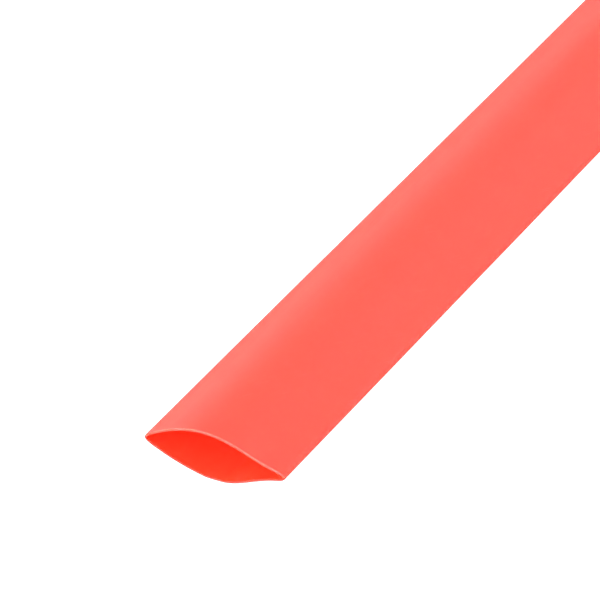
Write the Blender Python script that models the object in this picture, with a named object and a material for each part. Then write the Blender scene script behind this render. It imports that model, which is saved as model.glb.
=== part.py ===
"""A cut length of red heat shrink tube, as it comes off the reel: creased along two edges, where
it was wound up flat, and squeezed open again, so that its section is a pointed lens.

Metres, +Z up. The tube lies along Y on the plane z = 0, with the origin under its middle.
The end in front, towards -Y, is the open mouth. Run it with: blender --background --python part.py
"""

import math

import bmesh
import bpy

# Driving sizes of the tube
LENGTH = 0.1524  # cut length, six inches
BORE = 0.0127  # inside diameter if the tube were pushed round, half an inch
WALL = 0.00035  # wall before it is shrunk
CREASE_INSIDE_RADIUS = 0.00015  # how tightly each edge was folded

# How the two walls stand open. Each wall is an arch between the creases, with its peak moved
# sideways by the lean, its flanks straightened by the tautness and bent a little by the sway.
UPPER_ARCH = 0.00267
UPPER_LEAN = 0.00043
UPPER_TAUTNESS = 0.00006
UPPER_SWAY = 0.00004
LOWER_ARCH = 0.00268
LOWER_LEAN = 0.00015
LOWER_TAUTNESS = 0.00017
LOWER_SWAY = 0.00010
REST_WIDTH = 0.0020  # flat stretch of the lower wall that lies on the bench

# Fineness of the section
CREASE_STEPS = 8  # points from the tip of a crease to the start of a wall
WALL_STEPS = 56  # points across a wall
DEPTH_STEPS = 1000  # places across the lower wall where its depth is read, to find the deepest
SEARCH_STEPS = 40  # halvings in the search for the width between the creases

# Finish
RED = (0.80, 0.055, 0.03, 1.0)
ROUGHNESS = 0.42
METALLIC = 0.0

CREASE_RADIUS = CREASE_INSIDE_RADIUS + WALL / 2  # of the middle of the wall


def arch_height(share, arch, lean, tautness, sway):
    """How far a wall stands off the creases, at a share of the way from the -X crease to the +X one."""
    turn = math.pi * share
    return (
        arch * math.sin(turn)
        + lean * math.sin(2 * turn)
        - tautness * math.sin(3 * turn)
        + sway * math.sin(4 * turn)
    )


def upper_height(share):
    return arch_height(share, UPPER_ARCH, UPPER_LEAN, UPPER_TAUTNESS, UPPER_SWAY)


def lower_depth(share):
    return arch_height(share, LOWER_ARCH, LOWER_LEAN, LOWER_TAUTNESS, LOWER_SWAY)


def deepest_share():
    """Where across the tube the lower wall hangs deepest, before it is flattened on the bench."""
    return max(even_shares(0, 1, DEPTH_STEPS), key=lower_depth)


def rest_span(width):
    """The ends of the flat stretch that lies on the bench, as shares of the width between the creases."""
    middle = deepest_share()
    reach = REST_WIDTH / width / 2
    return middle - reach, middle + reach


def rest_depth(width):
    return min(lower_depth(share) for share in rest_span(width))


def even_shares(start, end, steps):
    return [start + (end - start) * step / steps for step in range(steps + 1)]


def crease_shares(width):
    """Shares of the width for the points that round a crease, from its tip inwards."""
    turns = even_shares(0, math.pi / 2, CREASE_STEPS)
    return [CREASE_RADIUS * (1 - math.cos(turn)) / width for turn in turns]


def crease_lift(share, width):
    """How far the rounded crease lifts the wall off the middle plane, at a share of the width."""
    inwards = min(share, 1 - share) * width
    if inwards >= CREASE_RADIUS:
        return CREASE_RADIUS
    return math.sqrt(max(0, CREASE_RADIUS**2 - (CREASE_RADIUS - inwards) ** 2))


def upper_wall(width):
    """Points (x, z) of the middle of the upper wall, from the -X crease's tip to the +X one's."""
    crease = crease_shares(width)
    flank = even_shares(crease[-1], 1 - crease[-1], WALL_STEPS)
    shares = crease[:-1] + flank + [1 - share for share in reversed(crease[:-1])]
    return [((s - 0.5) * width, crease_lift(s, width) + upper_height(s)) for s in shares]


def lower_wall(width):
    """Points (x, z) of the middle of the lower wall, from the +X crease's tip to the -X one's."""
    crease = crease_shares(width)
    rest_start, rest_end = rest_span(width)
    left = even_shares(crease[-1], rest_start, WALL_STEPS // 2)
    right = even_shares(rest_end, 1 - crease[-1], WALL_STEPS // 2)
    shares = crease[:-1] + left + right + [1 - share for share in reversed(crease[:-1])]
    deepest = rest_depth(width)
    return [
        ((s - 0.5) * width, -crease_lift(s, width) - min(lower_depth(s), deepest))
        for s in reversed(shares)
    ]


def section(width):
    """The closed line through the middle of the wall, without its first point repeated."""
    return upper_wall(width)[:-1] + lower_wall(width)[:-1]


def girth(points):
    return sum(math.dist(a, b) for a, b in zip(points, points[1:] + points[:1]))


def width_between_creases():
    """The width at which the section's girth is that of the round tube: squeezing keeps it."""
    wanted = math.pi * (BORE + WALL)
    low, high = 4 * CREASE_RADIUS + REST_WIDTH, wanted
    for _ in range(SEARCH_STEPS):
        width = (low + high) / 2
        if girth(section(width)) > wanted:
            high = width
        else:
            low = width
    return width


def polyolefin():
    material = bpy.data.materials.new("red_polyolefin")
    material.use_nodes = True
    shader = material.node_tree.nodes["Principled BSDF"]
    shader.inputs["Base Color"].default_value = RED
    shader.inputs["Roughness"].default_value = ROUGHNESS
    shader.inputs["Metallic"].default_value = METALLIC
    material.diffuse_color = RED
    return material


def heat_shrink_tube():
    """The tube: one loop through the middle of the wall, drawn out along Y and given its thickness."""
    width = width_between_creases()
    crease_height = WALL / 2 + CREASE_RADIUS + rest_depth(width)
    front = -LENGTH / 2

    shape = bmesh.new()
    corners = [shape.verts.new((x, front, crease_height + z)) for x, z in section(width)]
    loop = [shape.edges.new(pair) for pair in zip(corners, corners[1:] + corners[:1])]
    drawn = bmesh.ops.extrude_edge_only(shape, edges=loop)["geom"]
    moved = [item for item in drawn if isinstance(item, bmesh.types.BMVert)]
    bmesh.ops.translate(shape, verts=moved, vec=(0, LENGTH, 0))
    bmesh.ops.recalc_face_normals(shape, faces=shape.faces)

    mesh = bpy.data.meshes.new("heat_shrink_tube")
    shape.to_mesh(mesh)
    shape.free()
    mesh.shade_smooth()
    mesh.materials.append(polyolefin())

    tube = bpy.data.objects.new("heat_shrink_tube", mesh)
    bpy.context.scene.collection.objects.link(tube)
    wall = tube.modifiers.new("wall", "SOLIDIFY")
    wall.thickness = WALL
    wall.offset = 0
    wall.use_even_offset = True
    wall.use_rim = True
    return tube


def clear_scene():
    for found in list(bpy.data.objects):
        bpy.data.objects.remove(found)


def main():
    clear_scene()
    heat_shrink_tube()


main()
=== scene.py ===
"""The looks of a cut length of red heat shrink tube, creased along its edges and standing half open.

It is laid out as an add-on and run as a script: one operator dresses the tube, one sets up a plain
studio round it, and a panel in the sidebar lists them with the sizes and colours that they read.
Everything is in metres, with the tube lying along Y and its open mouth towards -Y.
"""

import math
from typing import NamedTuple

import bmesh
import bpy
from bpy.props import FloatProperty, FloatVectorProperty, IntProperty, PointerProperty
from mathutils import Matrix, Vector, noise


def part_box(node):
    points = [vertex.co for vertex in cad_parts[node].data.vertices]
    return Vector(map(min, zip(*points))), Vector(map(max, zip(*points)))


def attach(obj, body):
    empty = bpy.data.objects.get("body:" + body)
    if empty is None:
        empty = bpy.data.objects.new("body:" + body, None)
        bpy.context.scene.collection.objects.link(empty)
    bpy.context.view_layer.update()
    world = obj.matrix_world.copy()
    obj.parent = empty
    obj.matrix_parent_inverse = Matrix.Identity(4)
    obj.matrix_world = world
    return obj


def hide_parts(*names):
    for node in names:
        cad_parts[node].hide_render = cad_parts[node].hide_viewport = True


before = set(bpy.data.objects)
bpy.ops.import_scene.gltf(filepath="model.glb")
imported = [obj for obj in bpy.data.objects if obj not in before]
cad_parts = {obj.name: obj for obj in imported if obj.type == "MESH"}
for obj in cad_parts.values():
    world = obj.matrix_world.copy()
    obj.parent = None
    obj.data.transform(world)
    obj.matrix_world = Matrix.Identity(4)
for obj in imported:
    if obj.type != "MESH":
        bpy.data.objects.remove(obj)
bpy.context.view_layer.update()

NODE = "heat_shrink_tube"
LOWEST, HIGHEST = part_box(NODE)

bl_info = {
    "name": "Heat Shrink Tube",
    "version": (1, 0, 0),
    "blender": (4, 5, 0),
    "location": "View3D > Sidebar > Tube",
    "description": "Dresses a half-open length of heat shrink tube and sets up a plain studio",
    "category": "Add Mesh",
}

# The surfaces of the tube, as material slots of its mesh
OUTSIDE, BORE, CUT = range(3)

# Mesh work
MERGE_DISTANCE = 1e-6
FLAT_ANGLE = math.radians(1)
CREASE_CORE = 0.0006  # how far in from each crease the line starts that the outside faces away from
CUT_FACING = 0.9  # a face whose normal is this much along the tube is a cut
SUBDIVISION = 1
OUTER_SEGMENTS, INNER_SEGMENTS = 3, 1  # of the rounded edges of a cut
HOLD = 0.00012  # height above the creases from which a cut gets the painted highlight in full; below the creases it gets none
GLINT_FADE = 0.00025  # height above the creases from which the blade strains a cut in full
FLAT_CUT_GLINT = 0.27  # share of the painted highlight in the flat of a cut, where its outer rounding has 1

# The curves that the waves follow, each a lane of its own
LEFT_CREASE_LANE = 7.3
RIGHT_CREASE_LANE = 14.6
ARCH_LANE = 31.7
CUT_LANE = 11.9  # of the near cut, and negative of the far one


class Lamp(NamedTuple):
    """An oblong soft lamp that faces the middle of the tube"""

    name: str
    bearing: float  # degrees from the front of the mouth, towards the right
    height: float  # degrees above the floor
    distance: float
    width: float
    depth: float
    power: float  # watts
    mirrored: bool  # whether gloss shows it


LAMPS = (
    Lamp("front", 0, 15, 0.7, 1.0, 0.3, 10.4, False),
    Lamp("front_left", -40, 30, 0.7, 0.8, 0.6, 3.4, False),
    Lamp("left", -120, 12, 0.8, 0.3, 0.3, 0.37, True),
    Lamp("back_left", -140, 20, 0.8, 0.3, 0.2, 0.08, True),
    Lamp("back", -165, 38, 0.8, 0.3, 0.3, 0.16, True),
    Lamp("back_right", 170, 40, 0.8, 0.3, 0.3, 0.50, True),
    Lamp("right", 140, 30, 0.8, 0.5, 0.5, 0.60, True),
)

# The camera and the picture that it is worked out for
PICTURE_SIDE = 600  # pixels
SENSOR_WIDTH = 36.0  # millimetres
NEAREST_SEEN, FARTHEST_SEEN = 0.01, 20.0


class TubeShape(bpy.types.PropertyGroup):
    """How far the tube strays from a straight, clean-edged extrusion"""

    rings: IntProperty(
        name="Rings",
        description="Rings of faces along the tube, before they are smoothed",
        default=70,
        min=8,
        max=90,
    )
    outer_rounding: FloatProperty(
        name="Outer Rounding",
        description="Radius of a cut's outer edge",
        default=0.00017,
        min=0.00001,
        max=0.0002,
        precision=5,
        unit="LENGTH",
    )
    inner_rounding: FloatProperty(
        name="Inner Rounding",
        description="Radius of a cut's inner edge",
        default=0.00003,
        min=0.00001,
        max=0.0001,
        precision=5,
        unit="LENGTH",
    )
    cut_unevenness: FloatProperty(
        name="Cut Unevenness",
        description="How deep the waver of the blade goes into a cut end",
        default=0.00005,
        min=0.0,
        max=0.0003,
        precision=5,
        unit="LENGTH",
    )
    cut_waver: FloatProperty(
        name="Cut Waver",
        description="Distance between the wavers of the blade",
        default=0.0021,
        min=0.0005,
        precision=4,
        unit="LENGTH",
    )
    crease_waver: FloatProperty(
        name="Crease Waver",
        description="How far the creases stray inwards",
        default=0.00008,
        min=0.0,
        max=0.0005,
        precision=5,
        unit="LENGTH",
    )
    crease_pinch: FloatProperty(
        name="Crease Pinch",
        description="How much thinner each crease is at its tip, pressed flat on the reel",
        default=0.35,
        min=0.0,
        max=0.6,
        subtype="FACTOR",
    )
    pinch_reach: FloatProperty(
        name="Pinch Reach",
        description="How far from its tip a crease is pressed",
        default=0.0011,
        min=0.0001,
        precision=5,
        unit="LENGTH",
    )
    arch_sag: FloatProperty(
        name="Arch Sag",
        description="How far the top of the upper wall dips where it dips most",
        default=0.00006,
        min=0.0,
        max=0.0005,
        precision=5,
        unit="LENGTH",
    )
    wave_length: FloatProperty(
        name="Wave Length",
        description="Distance between the waves of the creases and of the upper wall",
        default=0.024,
        min=0.005,
        unit="LENGTH",
    )


class TubeFinish(bpy.types.PropertyGroup):
    """Colours and surface of the plastic"""

    outside_red: FloatVectorProperty(
        name="Outside",
        description="Colour of the outside",
        default=(0.98, 0.057, 0.035),
        size=3,
        min=0.0,
        max=1.0,
        subtype="COLOR",
    )
    bore_shade_red: FloatVectorProperty(
        name="Bore",
        # a deeper red than the outside, set to the tone of the inside in the tube's shade: painted
        # shade rather than fading
        description="Colour of the inside, which no light has faded",
        default=(0.995, 0.053, 0.021),
        size=3,
        min=0.0,
        max=1.0,
        subtype="COLOR",
    )
    cut_red: FloatVectorProperty(
        name="Cut",
        description="Colour of the freshly cut ends",
        default=(0.92, 0.050, 0.033),
        size=3,
        min=0.0,
        max=1.0,
        subtype="COLOR",
    )
    strained_and_glint_red: FloatVectorProperty(
        name="Strained",
        # also the colour of the painted highlight on the upper cut
        description="Paler colour of the plastic where a fold or a scuff has strained it",
        default=(0.97, 0.235, 0.205),
        size=3,
        min=0.0,
        max=1.0,
        subtype="COLOR",
    )
    roughness: FloatProperty(
        name="Roughness",
        description="Roughness of the drawn surface",
        default=0.32,
        min=0.0,
        max=1.0,
        subtype="FACTOR",
    )
    gloss: FloatProperty(
        name="Gloss",
        description="How strongly the surface mirrors its surroundings, where 0.5 is plain plastic",
        default=0.2,
        min=0.0,
        max=1.0,
        subtype="FACTOR",
    )
    cut_roughness: FloatProperty(
        name="Cut Roughness",
        description="Roughness of the cut ends",
        default=0.45,
        min=0.0,
        max=1.0,
        subtype="FACTOR",
    )
    depth_of_light: FloatProperty(
        name="Depth of Light",
        description="How far red light wanders inside the plastic",
        default=0.0020,
        min=0.0,
        precision=5,
        unit="LENGTH",
    )
    glow_through: FloatProperty(
        name="Glow Through",
        description="Share of the light that wanders inside before it leaves",
        default=0.95,
        min=0.0,
        max=1.0,
        subtype="FACTOR",
    )
    line_spacing: FloatProperty(
        name="Line Spacing",
        description="Distance between the fine lines that the die leaves along the tube",
        default=0.00035,
        min=0.00005,
        precision=5,
        unit="LENGTH",
    )
    line_depth: FloatProperty(
        name="Line Depth",
        description="Depth of the lines that the die leaves",
        default=0.000003,
        min=0.0,
        precision=7,
        unit="LENGTH",
    )
    grain_size: FloatProperty(
        name="Grain Size",
        description="Size of the slight orange peel all over the drawn surface",
        default=0.00022,
        min=0.00005,
        precision=5,
        unit="LENGTH",
    )
    fold_reach: FloatProperty(
        name="Fold Reach",
        description="How far from a crease the plastic is strained",
        default=0.0006,
        min=0.0001,
        precision=5,
        unit="LENGTH",
    )


class Studio(bpy.types.PropertyGroup):
    """The floor, the light and the camera"""

    floor_side: FloatProperty(
        name="Floor Side",
        description="Side of the square floor",
        default=4.0,
        min=0.5,
        unit="LENGTH",
    )
    floor_shade: FloatProperty(
        name="Floor Shade",
        description="How much light the floor throws back",
        default=0.20,
        min=0.0,
        max=1.0,
        subtype="FACTOR",
    )
    floor_glow: FloatProperty(
        name="Floor Glow",
        description="Light that comes up through the floor, as in a light table",
        default=0.70,
        min=0.0,
    )
    floor_shine: FloatProperty(
        name="Floor Shine",
        description="Share of the floor's light that gloss shows",
        default=0.20,
        min=0.0,
        max=1.0,
        subtype="FACTOR",
    )
    floor_bleach: FloatProperty(
        name="Floor Bleach",
        description="How much whiter than its light the floor looks, as in an overexposed picture",
        default=0.45,
        min=0.0,
    )
    surround: FloatProperty(
        name="Surround",
        description="Brightness of the white surroundings",
        default=1.0,
        min=0.0,
    )
    brightness: FloatProperty(
        name="Brightness",
        description="Strength of all the lamps together",
        default=1.0,
        min=0.0,
    )
    azimuth: FloatProperty(
        name="Azimuth",
        description="How far the camera stands round to the right of the mouth",
        default=math.radians(28.18),
        subtype="ANGLE",
    )
    elevation: FloatProperty(
        name="Elevation",
        description="How far the camera looks down",
        default=math.radians(32.15),
        subtype="ANGLE",
    )
    distance: FloatProperty(
        name="Distance",
        description="From the camera to the mouth, along the line of sight",
        default=0.6650,
        min=0.05,
        unit="LENGTH",
    )
    lens: FloatProperty(
        name="Lens",
        description="Focal length in millimetres",
        default=332.2,
        min=10.0,
        unit="CAMERA",
    )
    mouth_column: FloatProperty(
        name="Mouth Column",
        description="Pixels from the picture's left edge to the middle of the mouth",
        default=213.9,
    )
    mouth_row: FloatProperty(
        name="Mouth Row",
        description="Pixels from the picture's top edge to the middle of the mouth",
        default=457.79,
    )


# Node trees

STREAK_EDGE = 0.70, 0.78  # levels of the noise between which a scuff's streak sets in
PATCH_EDGE = 0.52, 0.66  # levels of the clouds between which scuffs come in


def add_node(tree, kind, column, row, **settings):
    """A node on a grid of columns and rows, with its settings."""
    node = tree.nodes.new(kind)
    node.location = (column * 200, -row * 180)
    for name, value in settings.items():
        setattr(node, name, value)
    return node


def connect(tree, target, source):
    """Links a socket to what feeds it, or sets the socket to a plain value."""
    if isinstance(source, bpy.types.NodeSocket):
        tree.links.new(source, target)
    else:
        target.default_value = source


def math_node(tree, operation, first, second, column, row):
    node = add_node(tree, "ShaderNodeMath", column, row, operation=operation)
    connect(tree, node.inputs[0], first)
    connect(tree, node.inputs[1], second)
    return node.outputs[0]


def scaled_and_raised(tree, value, factor, added, column, row):
    """The value times the factor, plus what is added."""
    node = add_node(tree, "ShaderNodeMath", column, row, operation="MULTIPLY_ADD")
    for socket, source in zip(node.inputs, (value, factor, added)):
        connect(tree, socket, source)
    return node.outputs[0]


def vector_node(tree, operation, first, second, column, row):
    node = add_node(tree, "ShaderNodeVectorMath", column, row, operation=operation)
    connect(tree, node.inputs[0], first)
    connect(tree, node.inputs[1], second)
    return node.outputs[0]


def ramp_node(tree, value, start, end, column, row):
    """A smooth rise from 0 to 1 as value goes from start to end."""
    node = add_node(tree, "ShaderNodeMapRange", column, row, interpolation_type="SMOOTHSTEP")
    connect(tree, node.inputs["Value"], value)
    connect(tree, node.inputs["From Min"], start)
    connect(tree, node.inputs["From Max"], end)
    return node.outputs["Result"]


def noise_node(tree, vector, detail, column, row):
    node = add_node(tree, "ShaderNodeTexNoise", column, row)
    connect(tree, node.inputs["Vector"], vector)
    node.inputs["Scale"].default_value = 1.0
    node.inputs["Detail"].default_value = detail
    return node.outputs["Fac"]


def mix_node(tree, share, first, second, column, row):
    """A colour that goes from first to second with share."""
    node = add_node(tree, "ShaderNodeMix", column, row, data_type="RGBA")
    factor, _, _, _, _, _, from_colour, to_colour = node.inputs[:8]
    connect(tree, factor, share)
    connect(tree, from_colour, first)
    connect(tree, to_colour, second)
    return node.outputs[2]


def new_group(name, inputs, outputs):
    """An empty shader node group with float and vector sockets, and its input and output nodes."""
    tree = bpy.data.node_groups.new(name, "ShaderNodeTree")
    for label, kind, default in inputs:
        socket = tree.interface.new_socket(label, in_out="INPUT", socket_type=kind)
        if default is not None:
            socket.default_value = default
    for label in outputs:
        tree.interface.new_socket(label, in_out="OUTPUT", socket_type="NodeSocketFloat")
    entry = add_node(tree, "NodeGroupInput", 0, 0)
    leave = add_node(tree, "NodeGroupOutput", 8, 0)
    return tree, entry.outputs, leave.inputs


def drawn_lines_group():
    """Fine lines along the tube, left by the die: a height from 0 to 1."""
    tree, given, out = new_group(
        "drawn_lines",
        (
            ("Position", "NodeSocketVector", None),
            ("Spacing", "NodeSocketFloat", 0.00035),
            ("Stretch", "NodeSocketFloat", 150.0),
        ),
        ("Height",),
    )
    length = math_node(tree, "MULTIPLY", given["Spacing"], given["Stretch"], 1, 1)
    cell = add_node(tree, "ShaderNodeCombineXYZ", 2, 1)
    connect(tree, cell.inputs["X"], given["Spacing"])
    connect(tree, cell.inputs["Y"], length)
    connect(tree, cell.inputs["Z"], given["Spacing"])
    scaled = vector_node(tree, "DIVIDE", given["Position"], cell.outputs[0], 3, 0)
    connect(tree, out["Height"], noise_node(tree, scaled, 3.0, 4, 0))
    return tree


def cloud_group():
    """Slow, soft unevenness of a given size: an amount from 0 to 1."""
    tree, given, out = new_group(
        "cloud",
        (
            ("Position", "NodeSocketVector", None),
            ("Size", "NodeSocketFloat", 0.005),
        ),
        ("Amount",),
    )
    cell = add_node(tree, "ShaderNodeCombineXYZ", 1, 1)
    for axis in "XYZ":
        connect(tree, cell.inputs[axis], given["Size"])
    scaled = vector_node(tree, "DIVIDE", given["Position"], cell.outputs[0], 2, 0)
    connect(tree, out["Amount"], noise_node(tree, scaled, 2.0, 3, 0))
    return tree


def scuff_group(cloud):
    """Sparse hairline scuffs from handling: a mask from 0 to 1."""
    tree, given, out = new_group(
        "scuffs",
        (
            ("Position", "NodeSocketVector", None),
            ("Width", "NodeSocketFloat", 0.00006),
            ("Length", "NodeSocketFloat", 0.004),
            ("Turn", "NodeSocketFloat", 0.5),
        ),
        ("Mask",),
    )
    turned = add_node(tree, "ShaderNodeVectorRotate", 1, 0, rotation_type="Z_AXIS")
    connect(tree, turned.inputs["Vector"], given["Position"])
    connect(tree, turned.inputs["Angle"], given["Turn"])
    cell = add_node(tree, "ShaderNodeCombineXYZ", 1, 1)
    connect(tree, cell.inputs["X"], given["Width"])
    connect(tree, cell.inputs["Y"], given["Length"])
    connect(tree, cell.inputs["Z"], given["Length"])
    scaled = vector_node(tree, "DIVIDE", turned.outputs[0], cell.outputs[0], 2, 0)
    streak = ramp_node(tree, noise_node(tree, scaled, 0.0, 3, 0), *STREAK_EDGE, 4, 0)
    patch = add_node(tree, "ShaderNodeGroup", 3, 1, node_tree=cloud)
    connect(tree, patch.inputs["Position"], turned.outputs[0])
    connect(tree, patch.inputs["Size"], given["Length"])
    where = ramp_node(tree, patch.outputs["Amount"], *PATCH_EDGE, 4, 1)
    connect(tree, out["Mask"], math_node(tree, "MULTIPLY", streak, where, 5, 0))
    return tree


def fold_group(cloud):
    """Plastic paled by a sharp fold: a mask that fades with the distance from the crease."""
    tree, given, out = new_group(
        "fold",
        (
            ("Position", "NodeSocketVector", None),
            ("From Crease", "NodeSocketFloat", 1.0),
            ("Reach", "NodeSocketFloat", 0.0006),
        ),
        ("Mask",),
    )
    uneven = add_node(tree, "ShaderNodeGroup", 1, 1, node_tree=cloud)
    connect(tree, uneven.inputs["Position"], given["Position"])
    connect(tree, uneven.inputs["Size"], given["Reach"])
    reach = math_node(tree, "MULTIPLY", given["Reach"], uneven.outputs["Amount"], 2, 1)
    reach = math_node(tree, "MULTIPLY", reach, 2.0, 3, 1)  # since a cloud is half on average
    faded = ramp_node(tree, given["From Crease"], reach, 0.0, 4, 0)
    connect(tree, out["Mask"], faded)
    return tree


class Effects:
    """The node groups that the materials share, each made once."""

    def __init__(self):
        self.cloud = cloud_group()
        self.lines = drawn_lines_group()
        self.scuffs = scuff_group(self.cloud)
        self.fold = fold_group(self.cloud)


def use_effect(tree, group, column, row, **inputs):
    """A group node whose inputs are given by name, with _ for a space."""
    node = add_node(tree, "ShaderNodeGroup", column, row, node_tree=group)
    for name, source in inputs.items():
        connect(tree, node.inputs[name.replace("_", " ").title()], source)
    return node.outputs[0]


# Materials

REACH_OF_LIGHT = (1.0, 0.03, 0.018)  # how far red, green and blue get inside the plastic, as shares
REFRACTION = 1.49  # of polyolefin

TINT_SIZE = 0.006  # of the clouds in the pigment
DARKEST_TINT, LIGHTEST_TINT = 0.955, 1.035  # times the plain colour
FOLD_PALENESS, SCUFF_PALENESS = 0.15, 0.12  # shares of the strained colour
SCUFF_ROUGHNESS = 0.15  # added where the surface is scuffed
OUTSIDE_STREAK, BORE_STREAK = 0.10, 0.12  # how far roughness changes from line to line
GRAIN_DEPTH = 0.5  # of the orange peel, as a share of the lines' depth
BORE_LINES = 2  # how many times wider the lines are in the bore
CUT_DEPTH = 2  # how many times deeper than the lines the blade's marks are
MARK_WIDTH, MARK_LENGTH, MARK_TURN = 0.00008, 0.0012, math.radians(8)  # of the blade's marks
CUT_GRAIN = 0.00012  # size of the grain that the blade leaves
GLINT_BY_GRAIN, LEAST_GLINT = 0.4, 0.17  # shares of the strained colour painted onto the upper cut as a highlight


def opaque(colour):
    return (*colour, 1.0)


def plastic(name, finish, roughness):
    """A new plastic that light wanders into, and its tree, shader and position socket."""
    material = bpy.data.materials.new(name)
    material.use_nodes = True
    tree = material.node_tree
    shader = tree.nodes["Principled BSDF"]
    shader.location = (2000, 0)
    tree.nodes["Material Output"].location = (2300, 0)
    shader.inputs["Roughness"].default_value = roughness
    shader.inputs["IOR"].default_value = REFRACTION
    shader.inputs["Specular IOR Level"].default_value = finish.gloss
    shader.inputs["Subsurface Weight"].default_value = finish.glow_through
    shader.inputs["Subsurface Radius"].default_value = REACH_OF_LIGHT
    shader.inputs["Subsurface Scale"].default_value = finish.depth_of_light
    position = add_node(tree, "ShaderNodeTexCoord", 0, 0).outputs["Object"]
    return material, tree, shader, position


def tinted(tree, colour, effects, position, column, row):
    """The colour with the slight unevenness of its pigment."""
    clouds = use_effect(tree, effects.cloud, column, row, position=position, size=TINT_SIZE)
    darker = opaque([DARKEST_TINT * part for part in colour])
    lighter = opaque([min(1.0, LIGHTEST_TINT * part) for part in colour])
    return mix_node(tree, clouds, darker, lighter, column + 1, row)


def bumped(tree, shader, height, depth, column, row):
    node = add_node(tree, "ShaderNodeBump", column, row)
    node.inputs["Strength"].default_value = 1.0
    node.inputs["Distance"].default_value = depth
    connect(tree, node.inputs["Height"], height)
    connect(tree, shader.inputs["Normal"], node.outputs[0])


def outside_material(finish, effects):
    """The drawn outside: satin, with die lines, orange peel, paled folds and a few scuffs."""
    material, tree, shader, position = plastic("tube_outside", finish, finish.roughness)
    from_crease = add_node(tree, "ShaderNodeAttribute", 0, 2, attribute_name="from_crease")
    fold = use_effect(
        tree,
        effects.fold,
        2,
        2,
        position=position,
        from_crease=from_crease.outputs["Fac"],
        reach=finish.fold_reach,
    )
    lines = use_effect(
        tree, effects.lines, 2, 3, position=position, spacing=finish.line_spacing
    )
    grain = use_effect(tree, effects.cloud, 2, 4, position=position, size=finish.grain_size)
    scuffs = use_effect(tree, effects.scuffs, 2, 5, position=position)

    red = tinted(tree, finish.outside_red, effects, position, 2, 0)
    strained = opaque(finish.strained_and_glint_red)
    folded = math_node(tree, "MULTIPLY", fold, FOLD_PALENESS, 4, 2)
    scuffed = math_node(tree, "MULTIPLY", scuffs, SCUFF_PALENESS, 4, 5)
    red = mix_node(tree, folded, red, strained, 5, 0)
    red = mix_node(tree, scuffed, red, strained, 6, 0)
    connect(tree, shader.inputs["Base Color"], red)

    smoothest = finish.roughness - OUTSIDE_STREAK / 2
    streaky = scaled_and_raised(tree, lines, OUTSIDE_STREAK, smoothest, 5, 3)
    rough = scaled_and_raised(tree, scuffs, SCUFF_ROUGHNESS, streaky, 6, 3)
    connect(tree, shader.inputs["Roughness"], rough)

    relief = scaled_and_raised(tree, grain, GRAIN_DEPTH, lines, 5, 4)
    bumped(tree, shader, relief, finish.line_depth, 7, 4)
    return material


def bore_material(finish, effects):
    """The inside: the same plastic drawn over a mandrel, with wider lines and no scuffs, in a deeper
    red that paints the inside's shade.
    """
    material, tree, shader, position = plastic("tube_bore", finish, finish.roughness)
    # painted shade: the inside gets its own deeper red, set to the tone that the inside has in shade
    red = tinted(tree, finish.bore_shade_red, effects, position, 2, 0)
    connect(tree, shader.inputs["Base Color"], red)
    spacing = finish.line_spacing * BORE_LINES
    lines = use_effect(tree, effects.lines, 2, 2, position=position, spacing=spacing)
    smoothest = finish.roughness - BORE_STREAK / 3  # on average a little rougher than outside
    rough = scaled_and_raised(tree, lines, BORE_STREAK, smoothest, 4, 2)
    connect(tree, shader.inputs["Roughness"], rough)
    bumped(tree, shader, lines, finish.line_depth, 7, 2)
    return material


def cut_material(finish, effects):
    """The cut ends: duller, with the blade's fine marks, and a painted highlight for the lamps'
    glint: paler on the upper cut, most on its outer rounding.
    """
    material, tree, shader, position = plastic("tube_cut", finish, finish.cut_roughness)
    marks = use_effect(
        tree,
        effects.scuffs,
        2,
        2,
        position=position,
        width=MARK_WIDTH,
        length=MARK_LENGTH,
        turn=MARK_TURN,
    )
    grain = use_effect(tree, effects.cloud, 2, 3, position=position, size=CUT_GRAIN)
    red = tinted(tree, finish.cut_red, effects, position, 2, 0)
    # painted highlight: the upper cut is mixed towards the strained colour, most on its outer
    # rounding, in place of the lamps' glint there
    rim_glint = add_node(tree, "ShaderNodeAttribute", 2, 1, attribute_name="rim_glint").outputs["Fac"]
    uneven = scaled_and_raised(tree, grain, GLINT_BY_GRAIN, LEAST_GLINT, 4, 1)
    glint_share = math_node(tree, "MULTIPLY", rim_glint, uneven, 5, 1)
    red = mix_node(tree, glint_share, red, opaque(finish.strained_and_glint_red), 6, 0)
    connect(tree, shader.inputs["Base Color"], red)
    relief = math_node(tree, "ADD", grain, marks, 5, 3)
    bumped(tree, shader, relief, finish.line_depth * CUT_DEPTH, 7, 3)
    return material


# The tube


def quads_of(node):
    """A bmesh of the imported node, with its loose triangles merged and paired into quads."""
    shape = bmesh.new()
    shape.from_mesh(node.data)
    bmesh.ops.remove_doubles(shape, verts=shape.verts, dist=MERGE_DISTANCE)
    bmesh.ops.join_triangles(
        shape,
        faces=shape.faces,
        angle_face_threshold=FLAT_ANGLE,
        angle_shape_threshold=math.pi,
    )
    return shape


def crease_height(shape):
    """The height of the creases, which are the widest part of the tube."""
    return max(shape.verts, key=lambda vertex: vertex.co.x).co.z


def name_surfaces(shape, height):
    """Gives each face its material slot: a cut end, the outside, or the bore, which faces inwards."""
    widest = HIGHEST.x - CREASE_CORE
    for face in shape.faces:
        middle = face.calc_center_median()
        core = Vector((max(-widest, min(widest, middle.x)), middle.y, height))
        if abs(face.normal.y) > CUT_FACING:
            face.material_index = CUT
        elif (middle - core).dot(face.normal) > 0:
            face.material_index = OUTSIDE
        else:
            face.material_index = BORE


def divide_along(shape, rings):
    """Divides the walls into rings, so that they can wave."""
    half = (HIGHEST.y - LOWEST.y) / 2
    lengthwise = [edge for edge in shape.edges if edge.calc_length() > half]
    bmesh.ops.subdivide_edges(shape, edges=lengthwise, cuts=rings - 1, use_grid_fill=True)


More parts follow.
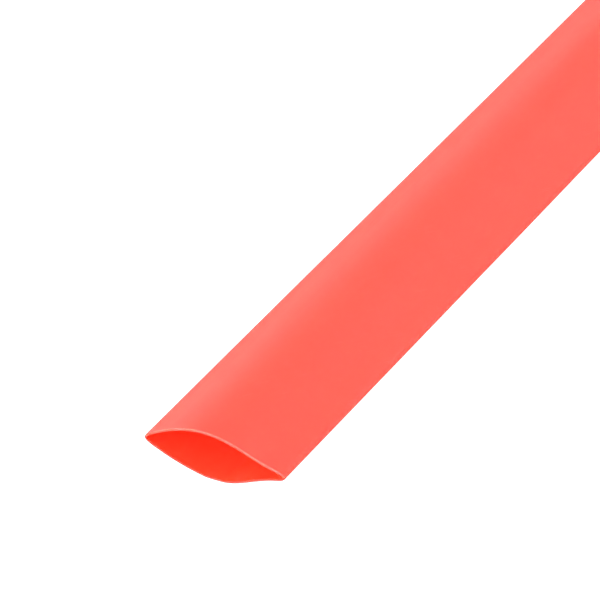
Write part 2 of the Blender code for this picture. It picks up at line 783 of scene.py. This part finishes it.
def round_rim(shape, wall, radius, segments):
    """Rounds the edges where the cut ends meet a wall, the outside or the bore."""
    rims = [
        edge
        for edge in shape.edges
        if {face.material_index for face in edge.link_faces} == {CUT, wall}
    ]
    made = bmesh.ops.bevel(
        shape,
        geom=rims,
        affect="EDGES",
        offset=radius,
        segments=segments,
        profile=0.5,  # round
        material=-1,
    )
    for face in made["faces"]:
        face.material_index = CUT
    return made["faces"]


def note_rim_glint(shape, rounding, height):
    """Stores how much painted highlight each point of a cut gets, for the lamps' glint: most in the
    upper cut's outer rounding, less on its flat, none below the creases.
    """
    layer = shape.verts.layers.float.new("rim_glint")
    rounding = set(rounding)
    cuts = [face for face in shape.faces if face.material_index == CUT]
    for vertex in {vertex for face in cuts for vertex in face.verts}:
        # painted highlight: full on the outer rounding, a share on the flat of the cut, fading to
        # none at the creases
        glint = 1.0 if rounding.issuperset(vertex.link_faces) else FLAT_CUT_GLINT
        above = (vertex.co.z - height) / GLINT_FADE
        vertex[layer] = glint * max(0.0, min(1.0, above))


def hold_walls(shape, inwards):
    """Adds a ring of edges just behind each cut."""
    for end, away in ((LOWEST.y, inwards), (HIGHEST.y, -inwards)):
        bmesh.ops.bisect_plane(
            shape,
            geom=shape.verts[:] + shape.edges[:] + shape.faces[:],
            dist=MERGE_DISTANCE,
            plane_co=(0, end + away, 0),
            plane_no=(0, 1, 0),
        )


def note_creases(shape):
    """Stores each point's distance from the nearer crease, before the waves move it."""
    layer = shape.verts.layers.float.new("from_crease")
    for vertex in shape.verts:
        vertex[layer] = HIGHEST.x - abs(vertex.co.x)


def wander(where, size, lane):
    """A smooth value from 0 to 1 that changes over size; each lane is a different curve."""
    return 0.5 + 0.5 * noise.noise(Vector((where / size, lane, 0)))


def pinch_creases(shape, settings, height):
    """Presses the creases thinner towards their tips."""
    for vertex in shape.verts:
        from_tip = HIGHEST.x - abs(vertex.co.x)
        press = max(0.0, 1 - from_tip / settings.pinch_reach) ** 2
        vertex.co.z = height + (vertex.co.z - height) * (1 - settings.crease_pinch * press)


def waver_creases(shape, settings):
    """Draws the tube in by a little, by another amount at each crease."""
    for vertex in shape.verts:
        lane = LEFT_CREASE_LANE if vertex.co.x < 0 else RIGHT_CREASE_LANE
        inwards = settings.crease_waver * wander(vertex.co.y, settings.wave_length, lane)
        vertex.co.x *= 1 - inwards / HIGHEST.x


def sag_arch(shape, settings, height):
    """Lowers the upper wall by a little where it dips."""
    top = HIGHEST.z - height
    for vertex in shape.verts:
        above = vertex.co.z - height
        if above > 0:
            dip = settings.arch_sag * wander(vertex.co.y, settings.wave_length, ARCH_LANE)
            vertex.co.z -= dip * above / top


def waver_cuts(shape, settings):
    """Lets the blade waver into each cut end."""
    reach = (HIGHEST.y - LOWEST.y) / settings.rings / 2
    for vertex in shape.verts:
        for end, inwards in ((LOWEST.y, 1), (HIGHEST.y, -1)):
            if abs(vertex.co.y - end) < reach:
                lane = CUT_LANE * inwards + vertex.co.z / settings.cut_waver
                depth = wander(vertex.co.x, settings.cut_waver, lane)
                vertex.co.y += inwards * settings.cut_unevenness * depth


def tube_mesh(settings):
    shape = quads_of(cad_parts[NODE])
    height = crease_height(shape)
    name_surfaces(shape, height)
    divide_along(shape, settings.rings)
    # the outer roundings, which carry the painted highlight of the upper cut
    rim_glint = round_rim(shape, OUTSIDE, settings.outer_rounding, OUTER_SEGMENTS)
    note_rim_glint(shape, rim_glint, height)
    round_rim(shape, BORE, settings.inner_rounding, INNER_SEGMENTS)
    hold_walls(shape, settings.outer_rounding + HOLD)
    note_creases(shape)
    pinch_creases(shape, settings, height)
    waver_creases(shape, settings)
    sag_arch(shape, settings, height)
    waver_cuts(shape, settings)
    mesh = bpy.data.meshes.new("red_sleeve")
    shape.to_mesh(mesh)
    shape.free()
    mesh.shade_smooth()
    return mesh


class HEATSHRINK_OT_tube(bpy.types.Operator):
    """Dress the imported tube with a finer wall, rounded cuts and its finish"""

    bl_idname = "heatshrink.tube"
    bl_label = "Dress Tube"

    def execute(self, context):
        finish = context.scene.tube_finish
        effects = Effects()
        mesh = tube_mesh(context.scene.tube_shape)
        mesh.materials.append(outside_material(finish, effects))
        mesh.materials.append(bore_material(finish, effects))
        mesh.materials.append(cut_material(finish, effects))

        sleeve = bpy.data.objects.new("red_sleeve", mesh)
        context.scene.collection.objects.link(sleeve)
        smooth = sleeve.modifiers.new("smooth", "SUBSURF")
        smooth.levels = SUBDIVISION
        smooth.render_levels = SUBDIVISION

        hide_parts(NODE)
        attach(sleeve, "root")
        return {"FINISHED"}


# The studio


def add_floor(context, studio):
    """A pale floor that light comes up through, so that hardly a shadow shows on it."""
    shape = bmesh.new()
    bmesh.ops.create_grid(shape, x_segments=1, y_segments=1, size=studio.floor_side / 2)
    mesh = bpy.data.meshes.new("floor")
    shape.to_mesh(mesh)
    shape.free()
    material = bpy.data.materials.new("floor")
    material.use_nodes = True
    tree = material.node_tree
    shader = tree.nodes["Principled BSDF"]
    shader.inputs["Base Color"].default_value = opaque([studio.floor_shade] * 3)
    shader.inputs["Roughness"].default_value = 1.0
    shader.inputs["Specular IOR Level"].default_value = 0.0
    shader.inputs["Emission Color"].default_value = opaque([1.0] * 3)
    rays = add_node(tree, "ShaderNodeLightPath", -4, 0).outputs
    seen, mirrored = rays["Is Camera Ray"], rays["Is Glossy Ray"]
    glow = scaled_and_raised(tree, seen, studio.floor_bleach, studio.floor_glow, -3, 0)
    shown = scaled_and_raised(tree, mirrored, studio.floor_shine - 1, 1.0, -3, 1)
    light = math_node(tree, "MULTIPLY", glow, shown, -2, 0)
    connect(tree, shader.inputs["Emission Strength"], light)
    material.cycles.emission_sampling = "NONE"  # so wide a floor is found without aiming at it
    mesh.materials.append(material)
    floor = bpy.data.objects.new("floor", mesh)
    floor.location.z = LOWEST.z
    context.scene.collection.objects.link(floor)


def light_surroundings(context, studio):
    world = bpy.data.worlds.new("white_room")
    world.use_nodes = True
    background = world.node_tree.nodes["Background"]
    background.inputs["Color"].default_value = opaque([1.0] * 3)
    background.inputs["Strength"].default_value = studio.surround
    context.scene.world = world


def add_lamp(context, lamp, brightness):
    """Hangs a lamp, which the camera doesn't see."""
    bearing, height = math.radians(lamp.bearing), math.radians(lamp.height)
    outwards = Vector(
        (
            math.sin(bearing) * math.cos(height),
            -math.cos(bearing) * math.cos(height),
            math.sin(height),
        )
    )
    soft = bpy.data.lights.new(lamp.name, "AREA")
    soft.shape = "RECTANGLE"
    soft.size = lamp.width
    soft.size_y = lamp.depth
    soft.energy = lamp.power * brightness
    light = bpy.data.objects.new(lamp.name, soft)
    light.location = outwards * lamp.distance
    light.rotation_euler = outwards.to_track_quat("Z", "Y").to_euler()
    light.visible_camera = False
    light.visible_glossy = lamp.mirrored
    context.scene.collection.objects.link(light)


def camera_axes(studio):
    """Right, up and forward for the camera, from the way that it looks."""
    around, down = studio.azimuth, studio.elevation
    forward = Vector(
        (
            -math.sin(around) * math.cos(down),
            math.cos(around) * math.cos(down),
            -math.sin(down),
        )
    )
    right = Vector((math.cos(around), math.sin(around), 0))
    return right, right.cross(forward), forward


def mouth_middle():
    """The middle of the open mouth, half way between its creases."""
    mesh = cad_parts[NODE].data
    crease = max(mesh.vertices, key=lambda vertex: vertex.co.x)
    return Vector((0, LOWEST.y, crease.co.z))


def add_camera(context, studio):
    """The camera, placed so that the middle of the mouth comes where the picture has it."""
    right, up, forward = camera_axes(studio)
    pixels = studio.lens / SENSOR_WIDTH * PICTURE_SIDE
    across = (studio.mouth_column - PICTURE_SIDE / 2) / pixels * studio.distance
    above = (PICTURE_SIDE / 2 - studio.mouth_row) / pixels * studio.distance
    place = mouth_middle() - forward * studio.distance - right * across - up * above
    lens = bpy.data.cameras.new("camera")
    lens.lens = studio.lens
    lens.sensor_width = SENSOR_WIDTH
    lens.clip_start = NEAREST_SEEN
    lens.clip_end = FARTHEST_SEEN
    camera = bpy.data.objects.new("camera", lens)
    turn = Matrix((right, up, -forward)).transposed()
    camera.matrix_world = Matrix.Translation(place) @ turn.to_4x4()
    context.scene.collection.objects.link(camera)
    context.scene.camera = camera


class HEATSHRINK_OT_studio(bpy.types.Operator):
    """Set up the floor, the light and the camera"""

    bl_idname = "heatshrink.studio"
    bl_label = "Set Up Studio"

    def execute(self, context):
        studio = context.scene.tube_studio
        context.scene.view_settings.view_transform = "Standard"
        add_floor(context, studio)
        light_surroundings(context, studio)
        for lamp in LAMPS:
            add_lamp(context, lamp, studio.brightness)
        add_camera(context, studio)
        return {"FINISHED"}


class HEATSHRINK_PT_panel(bpy.types.Panel):
    """Lists the operators and what they read"""

    bl_idname = "HEATSHRINK_PT_panel"
    bl_label = "Heat Shrink Tube"
    bl_space_type = "VIEW_3D"
    bl_region_type = "UI"
    bl_category = "Tube"

    def draw(self, context):
        scene = context.scene
        for operator, settings in (
            (HEATSHRINK_OT_tube.bl_idname, (scene.tube_shape, scene.tube_finish)),
            (HEATSHRINK_OT_studio.bl_idname, (scene.tube_studio,)),
        ):
            box = self.layout.box()
            box.operator(operator)
            for group in settings:
                for name in group.__annotations__:
                    box.prop(group, name)


CLASSES = (
    TubeShape,
    TubeFinish,
    Studio,
    HEATSHRINK_OT_tube,
    HEATSHRINK_OT_studio,
    HEATSHRINK_PT_panel,
)


def register():
    for item in CLASSES:
        bpy.utils.register_class(item)
    bpy.types.Scene.tube_shape = PointerProperty(type=TubeShape)
    bpy.types.Scene.tube_finish = PointerProperty(type=TubeFinish)
    bpy.types.Scene.tube_studio = PointerProperty(type=Studio)


def unregister():
    del bpy.types.Scene.tube_studio
    del bpy.types.Scene.tube_finish
    del bpy.types.Scene.tube_shape
    for item in reversed(CLASSES):
        bpy.utils.unregister_class(item)


def main():
    register()
    bpy.ops.heatshrink.tube()
    bpy.ops.heatshrink.studio()


if __name__ == "__main__":
    main()
